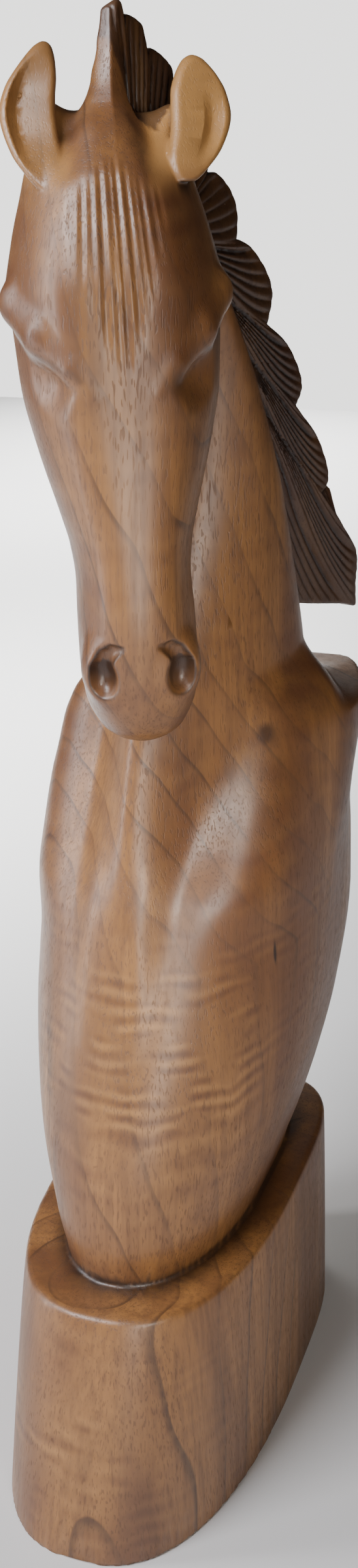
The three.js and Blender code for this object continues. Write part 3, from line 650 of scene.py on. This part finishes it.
def mark_hollows(mesh):
    """Writes for the wood to read the painted shade in hollows, nostrils, the fold over the right eye and
    below the brows, how far each place lies in the mane, and the paler ears with their painted light.
    """
    p = mesh_points(mesh)
    g = slope_at(p, carving_depth(p))
    n = g / np.maximum(np.sqrt((g * g).sum(1)), 1e-6)[:, None]
    hollow = np.zeros(len(p))
    # Painted shade: darkest where the carving closes in around a place.
    for reach, share in SHADE_LOOKS:
        hollow += share * np.clip(1 - carving_depth(p + n * reach * MM) / reach, 0, 1)
    x, y, z = drawn_place(p)
    side, forward, height = head_place(x, y, z)
    # Ears: less painted shade, and paler wood with painted light, full on the horse's left ear and half on
    # its right.
    ears = ease(height, *EAR_SHADE_FOOT) * ease(np.abs(side), *EAR_SHADE_SIDE) * (forward > EAR_SHADE_BACK)
    hollow = hollow * (1 - EAR_SHADE_LIFT * ears)
    ears = ears * np.where(side > 0, 1.0, RIGHT_EAR_PALE)
    # Painted shade inside the nostrils.
    hollow = np.maximum(hollow, nostril_shade(np.abs(side), forward, height))
    # Painted shade along the fold over the right eye.
    crease = 1 - ease(bar_depth(-side, forward, height, CREASE), 0.0, CREASE_FADE)
    hollow = np.maximum(hollow, CREASE_DARK * crease)
    # Painted shade below the brows.
    for at, size, deep in EYE_SHADES:
        gap = sum(((v - c) / w) ** 2 for v, c, w in zip((side, forward, height), at, size))
        hollow = np.maximum(hollow, deep * (1 - ease(np.sqrt(gap), 0.0, 1.0)))
    offset, radius, angle = mane_place(x, y, z)
    root = mane_root(angle)
    in_mane = (np.abs(offset) < DARK_MANE_HALF) & between(angle, DARK_MANE_ANGLES) & (z > DARK_MANE_FOOT)
    mane = ease(radius, root + DARK_MANE_FADE[0], root + DARK_MANE_FADE[1]) * in_mane
    for name, values in (("hollow", hollow), ("mane", mane), ("ears", ears)):
        mesh.attributes.new(name, "FLOAT", "POINT").data.foreach_set("value", np.ascontiguousarray(values))


def fill_ears():
    """Fills the ears' plain hollows with small balls, so that the fine hollows are cut afresh."""
    for ear in EARS:
        spine = ear["spine"]
        low, high = spine[0][0], spine[-1][0]
        turn = math.radians(ear["turn"])
        for share in EAR_FILLER_ROWS:
            height = low + (high - low) * share
            for across in EAR_FILLER_ACROSS:
                u = across * float(ear_half(share)) * ear["scale"]
                side = ear["side"] * (u * math.cos(turn) + float(run(spine, 1)(height)))
                forward = -u * math.sin(turn) + float(run(spine, 2)(height))
                bpy.ops.mesh.primitive_ico_sphere_add(subdivisions=2, radius=EAR_FILLER_BALL * MM,
                                                      location=from_head(side, forward, height))


def reskin(obj, grain):
    """Gives the piece an even skin of faces of about one grain (millimetres) each."""
    only(obj)
    skin = obj.modifiers.new("skin", "REMESH")
    skin.mode = "VOXEL"
    skin.voxel_size = grain * MM
    bpy.ops.object.modifier_apply(modifier=skin.name)


def thin_out(obj):
    """Brings the piece down to the most triangles set for it, where it has more."""
    triangles = sum(len(face.vertices) - 2 for face in obj.data.polygons)
    if triangles > MOST_TRIANGLES:
        thin = obj.modifiers.new("thin", "DECIMATE")
        thin.ratio = MOST_TRIANGLES / triangles
        bpy.ops.object.modifier_apply(modifier=thin.name)
        settle(obj.data, passes=1)


def carve_bust():
    """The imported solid's own shape, skinned evenly and carved finer in four rounds."""
    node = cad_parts["horse_bust"]
    bust = node.copy()
    bust.data = node.data.copy()
    bust.name = bust.data.name = "carved_horse_bust"
    bpy.context.scene.collection.objects.link(bust)
    bust.parent = None
    bust.matrix_world = Matrix.Identity(4)
    only(bust)
    bpy.ops.object.mode_set(mode="EDIT")
    bpy.ops.mesh.select_all(action="SELECT")
    bpy.ops.mesh.remove_doubles(threshold=MERGE_GAP)
    fill_ears()
    bpy.ops.object.mode_set(mode="OBJECT")
    reskin(bust, FIRST_GRAIN)
    settle(bust.data, passes=4, ease_share=0.5)
    reskin(bust, SECOND_GRAIN)
    settle(bust.data, passes=3, ease_share=0.4)
    subdivide_where(bust, medium_zone)
    settle(bust.data, passes=2, ease_share=0.3)
    subdivide_where(bust, fine_zone)
    settle(bust.data, passes=3, ease_share=0.25)
    thin_out(bust)
    only(bust)
    bpy.ops.object.shade_smooth()
    bust.data.materials.clear()
    mark_hollows(bust.data)
    return bust


bust = carve_bust()
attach(bust, "root")
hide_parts("horse_bust")


def linear(code):
    """sRGB hex colour as linear red, green, blue and 1."""
    parts = [int(code[i:i + 2], 16) / 255 for i in (0, 2, 4)]
    return tuple(c / 12.92 if c <= 0.04045 else ((c + 0.055) / 1.055) ** 2.4 for c in parts) + (1.0,)


def add_node(tree, kind, inputs=(), out=0, **settings):
    """Adds a node, sets its settings, fills its inputs with values or links, and gives one of its outputs."""
    made = tree.nodes.new("ShaderNode" + kind)
    for name, value in settings.items():
        setattr(made, name, value)
    for key, value in inputs.items() if isinstance(inputs, dict) else enumerate(inputs):
        if isinstance(value, bpy.types.NodeSocket):
            tree.links.new(value, made.inputs[key])
        else:
            made.inputs[key].default_value = value
    return made.outputs[out]


def carved_suar_wood():
    """Suar hardwood, gouge-carved, sanded and wiped with satin lacquer: soft broad sheen, dark growth lines,
    open pores drawn as short dashes along the grain, and painted shade in the hollows of the carving."""
    wood = bpy.data.materials.new("suar_hardwood_sanded_satin_lacquer")
    wood.use_nodes = True
    tree = wood.node_tree
    add = partial(add_node, tree)
    own = add("TexCoord", out="Object")
    place = add("VectorMath", {0: own, "Scale": 1 / MM}, operation="SCALE")
    x, y, z = [add("SeparateXYZ", (place,), out=axis) for axis in range(3)]

    def cloud(across, along, detail=2.0):
        """Cloudy pattern in patches of about this many millimetres across and along the grain."""
        scaled = add("VectorMath", (place, (1 / across, 1 / across, 1 / along)), operation="MULTIPLY")
        return add("TexNoise", {"Vector": scaled, "Scale": 1.0, "Detail": detail})

    def spot(at, size):
        """1 in the middle of an oval spot of this size (millimetres), 0 outside it."""
        moved = add("VectorMath", (place, at), operation="SUBTRACT")
        scaled = add("VectorMath", (moved, tuple(1 / v for v in size)), operation="MULTIPLY")
        gap = add("VectorMath", (scaled,), out="Value", operation="LENGTH")
        return add("MapRange", (gap, 1.0, SPOT_CORE), **SMOOTH)

    def bent(value, bends):
        """The value shifted, step by step, between pairs of heights."""
        for low, high, shift in bends:
            value = add("Math", (value, add("MapRange", (z, low, high, 0, shift))), operation="ADD")
        return value

    def lay_colour(colour, mask, strength, code):
        """Lays one colour over the wood where the mask is, at most this strong: stains and figure, and
        painted shade.
        """
        share = add("Math", (mask, strength), operation="MULTIPLY")
        return add("Mix", {0: share, 6: colour, 7: linear(code)}, out=2, data_type="RGBA")

    # Growth rings about a pith near the chest's front; the trunk leans, more strongly from the shoulder up.
    across = bent(add("Math", (z, TRUNK_LEAN, x), operation="MULTIPLY_ADD"), LEAN_BENDS)
    across = add("Math", (across, PITH_SIDE), operation="SUBTRACT")
    behind = bent(add("Math", (z, TRUNK_SET_BACK, y), operation="MULTIPLY_ADD"), BACK_BENDS)
    behind = add("Math", (behind, PITH_FRONT + BASE_CENTRE_Y), operation="ADD")
    square = add("Math", (across, across), operation="MULTIPLY")
    radius = add("Math", (add("Math", (behind, behind, square), operation="MULTIPLY_ADD"),), operation="SQRT")
    wander = add("Math", (cloud(42, 120), 0.5), operation="SUBTRACT")
    ring = add("Math", (wander, RING_WANDER, radius), operation="MULTIPLY_ADD")
    grown = add("Math", (ring, RING_FIRST), operation="SUBTRACT")
    years = add("Math", (grown, RING_SPACING), operation="DIVIDE")
    year = add("Math", (years,), operation="FRACT")
    late = add("Math", (add("MapRange", (year, 0.25, 0.95), **SMOOTH),
                        add("MapRange", (year, 1.0, 0.965), **SMOOTH)), operation="MULTIPLY")
    line = add("Math", (add("MapRange", (year, 0.86, 0.965), **SMOOTH),
                        add("MapRange", (year, 1.0, 0.975), **SMOOTH)), operation="MULTIPLY")
    broken = add("MapRange", (cloud(30, 80), 0.42, 0.66, 0.3, 1.0), **SMOOTH)
    line = add("Math", (line, broken), operation="MULTIPLY")

    # Broad golden and red-brown zones, late wood, then fibre streaks along the grain and the growth lines.
    zone = add("MapRange", (cloud(30, 130), 0.34, 0.66), **SMOOTH)
    colour = lay_colour(linear("6a4227"), zone, 1.0, "9a6b3c")
    colour = lay_colour(colour, late, 0.34, "6a4630")
    fine, broad = cloud(1.6, 60, 3.0), add("Math", (cloud(5, 90), 0.4), operation="MULTIPLY")
    streak = add("Math", (fine, 0.6, broad), operation="MULTIPLY_ADD")
    colour = lay_colour(colour, add("MapRange", (streak, 0.36, 0.66), **SMOOTH), 0.6, "5e3c24")
    colour = lay_colour(colour, line, 0.7, "3b261a")

    # Curly figure: bands across the grain, 11 mm apart low on the chest, 6 mm near its top, 7 mm on the base.
    height = add("Math", (z, CURL_SPACING), operation="DIVIDE")
    waves = bent(add("Math", (cloud(30, 40), CURL_WANDER, height), operation="MULTIPLY_ADD"), CURL_CLOSER)
    wave = add("Math", (add("Math", (waves, 2 * math.pi), operation="MULTIPLY"),), operation="SINE")
    swing = add("MapRange", (cloud(16, 11, 1.0), 0.4, 0.62, 0.0, 0.5), **SMOOTH)
    curl = add("Math", (wave, swing, 0.5), operation="MULTIPLY_ADD")
    dip = add("Math", (1.0, curl), operation="SUBTRACT")
    figured = CURL_ELSEWHERE
    for at, size in CURL_PLACES:
        figured = add("Math", (spot(at, size), figured), operation="MAXIMUM")
    colour = lay_colour(colour, add("Math", (curl, figured), operation="MULTIPLY"), 0.55, "b58550")
    colour = lay_colour(colour, add("Math", (dip, figured), operation="MULTIPLY"), 0.4, "5a3a24")

    # Pores: real ones are about 0.25 mm wide; they are drawn 0.5 mm wide so that they show.
    pore = add("MapRange", (cloud(PORE_WIDTH, PORE_LENGTH, 0.0), 0.61, 0.7), **SMOOTH)
    crowded = add("MapRange", (cloud(22, 60), 0.3, 0.6, 0.25, 1.0), **SMOOTH)
    pore = add("Math", (pore, crowded), operation="MULTIPLY")
    colour = lay_colour(colour, pore, 0.45, "4a2d1a")
    for at, size, strength, code in WOOD_MARKS:
        colour = lay_colour(colour, spot(at, size), strength, code)

    # Paler wood in the ears, partly painted light; dark lacquer over the gouged mane; painted shade in the
    # hollows.
    for name, strength, code in (("ears", 0.55, "d09c5c"), ("mane", 0.75, "3a261b")):
        colour = lay_colour(colour, add("Attribute", out="Fac", attribute_name=name), strength, code)
    # Painted shade: dark brown laid over the hollows, the nostrils, the fold over the right eye and below the
    # brows.
    hollow = add("Attribute", out="Fac", attribute_name="hollow")
    colour = lay_colour(colour, add("MapRange", (hollow, 0.08, 0.6), **SMOOTH), 0.9, "22140d")

    # The lacquer is thin: fibres and pores still show in its relief and break its sheen.
    fibres = add("Math", (streak, 0.5), operation="MULTIPLY")
    relief = add("Math", (fibres, pore), operation="SUBTRACT")
    bump = add("Bump", {"Height": relief, "Strength": RELIEF_STRENGTH, "Distance": PORE_DEPTH * MM})
    satin = add("MapRange", (streak, 0.3, 0.7, *SATIN_ROUGHNESS), **SMOOTH)
    roughness = add("Math", (pore, PORE_ROUGHNESS, satin), operation="MULTIPLY_ADD")
    shader = tree.nodes["Principled BSDF"]
    for name, value in (("Base Color", colour), ("Roughness", roughness), ("Normal", bump)):
        tree.links.new(value, shader.inputs[name])
    shader.inputs["Specular IOR Level"].default_value = LACQUER_SHEEN
    return wood


bust.data.materials.append(carved_suar_wood())


def matt_painted_board():
    """Board rolled with matt off-white paint: even and without gloss, so the floor shows only soft light."""
    paint = bpy.data.materials.new("matt_pale_floor")
    paint.use_nodes = True
    shader = paint.node_tree.nodes["Principled BSDF"]
    shader.inputs["Base Color"].default_value = linear("f2f1ef")
    shader.inputs["Roughness"].default_value = 0.9
    return paint


# Floor.
FLOOR_SIZE = 6.0
bpy.ops.object.select_all(action="DESELECT")
bpy.ops.mesh.primitive_plane_add(size=FLOOR_SIZE, location=(0, 0, 0))
floor = bpy.context.object
floor.name = "floor"
floor.data.materials.append(matt_painted_board())

# Camera: fitted to the base's rim and foot in the photograph; focal length and height in its pixels.
CAMERA_AT = Vector((0.173, -0.510, 0.448))
CAMERA_AZIMUTH, CAMERA_DROP, CAMERA_FOCAL = math.radians(18.4), math.radians(20.0), 2500.0
IMAGE_HEIGHT, SENSOR, NEAREST = 2400.0, 36.0, 0.01
level = math.cos(CAMERA_DROP)
right = Vector((math.cos(CAMERA_AZIMUTH), math.sin(CAMERA_AZIMUTH), 0))
ahead = Vector((-right.y * level, right.x * level, -math.sin(CAMERA_DROP)))
up = right.cross(ahead)
camera = bpy.data.objects.new("camera", bpy.data.cameras.new("camera"))
camera.data.sensor_width = SENSOR
camera.data.lens = SENSOR * CAMERA_FOCAL / IMAGE_HEIGHT
camera.data.clip_start = NEAREST
camera.matrix_world = Matrix((
    (right.x, up.x, -ahead.x, CAMERA_AT.x), (right.y, up.y, -ahead.y, CAMERA_AT.y),
    (right.z, up.z, -ahead.z, CAMERA_AT.z), (0, 0, 0, 1)))
bpy.context.scene.collection.objects.link(camera)
bpy.context.scene.camera = camera


def area_light(name, at, look, size, power, colour, spread=180):
    """Rectangular light at a place, looking at another; spread (degrees) is how wide its hood opens."""
    data = bpy.data.lights.new(name, "AREA")
    data.shape = "RECTANGLE"
    data.size, data.size_y = size
    data.energy, data.color = power, linear(colour)[:3]
    data.spread = math.radians(spread)
    lamp = bpy.data.objects.new(name, data)
    lamp.location = at
    lamp.rotation_euler = (Vector(look) - Vector(at)).to_track_quat("-Z", "Y").to_euler()
    bpy.context.scene.collection.objects.link(lamp)


# A sky window above, ahead and to the horse's right; a strip light low in front for the sheen on the face; a
# lamp with a hood for the sheen across the chest; a narrow window at the horse's right; and lamps that light
# only the floor behind. The horse's left stays dark.
area_light("sky_window", at=(-0.62, -0.98, 1.3), look=(0, -0.03, 0.3), size=(0.9, 0.6), power=28,
           colour="f8f9ff")
area_light("front_strip", at=(0.42, -0.93, 0.3), look=(0, 0, 0.36), size=(0.14, 0.55), power=0.29,
           colour="fffaf4", spread=50)
area_light("chest_lamp", at=(0.58, -0.78, 0.58), look=(0.016, -0.03, 0.19), size=(0.22, 0.3), power=0.14,
           colour="fffaf4", spread=20)
area_light("side_window", at=(-1.25, -0.5, 0.6), look=(0, 0, 0.3), size=(0.14, 1.2), power=11,
           colour="fbfaff")
area_light("floor_lamp", at=(-0.42, 0.65, 0.9), look=(-0.42, 0.65, 0), size=(0.5, 0.9), power=5,
           colour="ffffff", spread=55)
area_light("far_floor_lamp", at=(-0.75, 2.1, 1.4), look=(-0.75, 2.1, 0), size=(1.2, 2.0), power=36,
           colour="ffffff", spread=70)

# Room: dim, a little brighter at the horse's right, with a pale glow only behind it as the camera sees it.
ROOM_SIDE, ROOM_RIGHT, ROOM_LEFT = 0.6, 0.05, 0.01
GLOW_TOWARD, GLOW_EDGE, GLOW_FULL, GLOW_POWER = (-0.316, 0.949, 0.0), 0.972, 0.984, 2.2
world = bpy.data.worlds.new("studio")
world.use_nodes = True
sky = world.node_tree
toward = add_node(sky, "TexCoord", out="Generated")
sideways = add_node(sky, "SeparateXYZ", (toward,))
dim = add_node(sky, "MapRange", (sideways, -ROOM_SIDE, ROOM_SIDE, ROOM_RIGHT, ROOM_LEFT))
facing = add_node(sky, "VectorMath", (toward, GLOW_TOWARD), out="Value", operation="DOT_PRODUCT")
glow = add_node(sky, "MapRange", (facing, GLOW_EDGE, GLOW_FULL, 0.0, GLOW_POWER), **SMOOTH)
total = add_node(sky, "Math", (dim, glow), operation="ADD")
sky.links.new(total, sky.nodes["Background"].inputs["Strength"])
sky.nodes["Background"].inputs["Color"].default_value = linear("fbfaf8")
bpy.context.scene.world = world
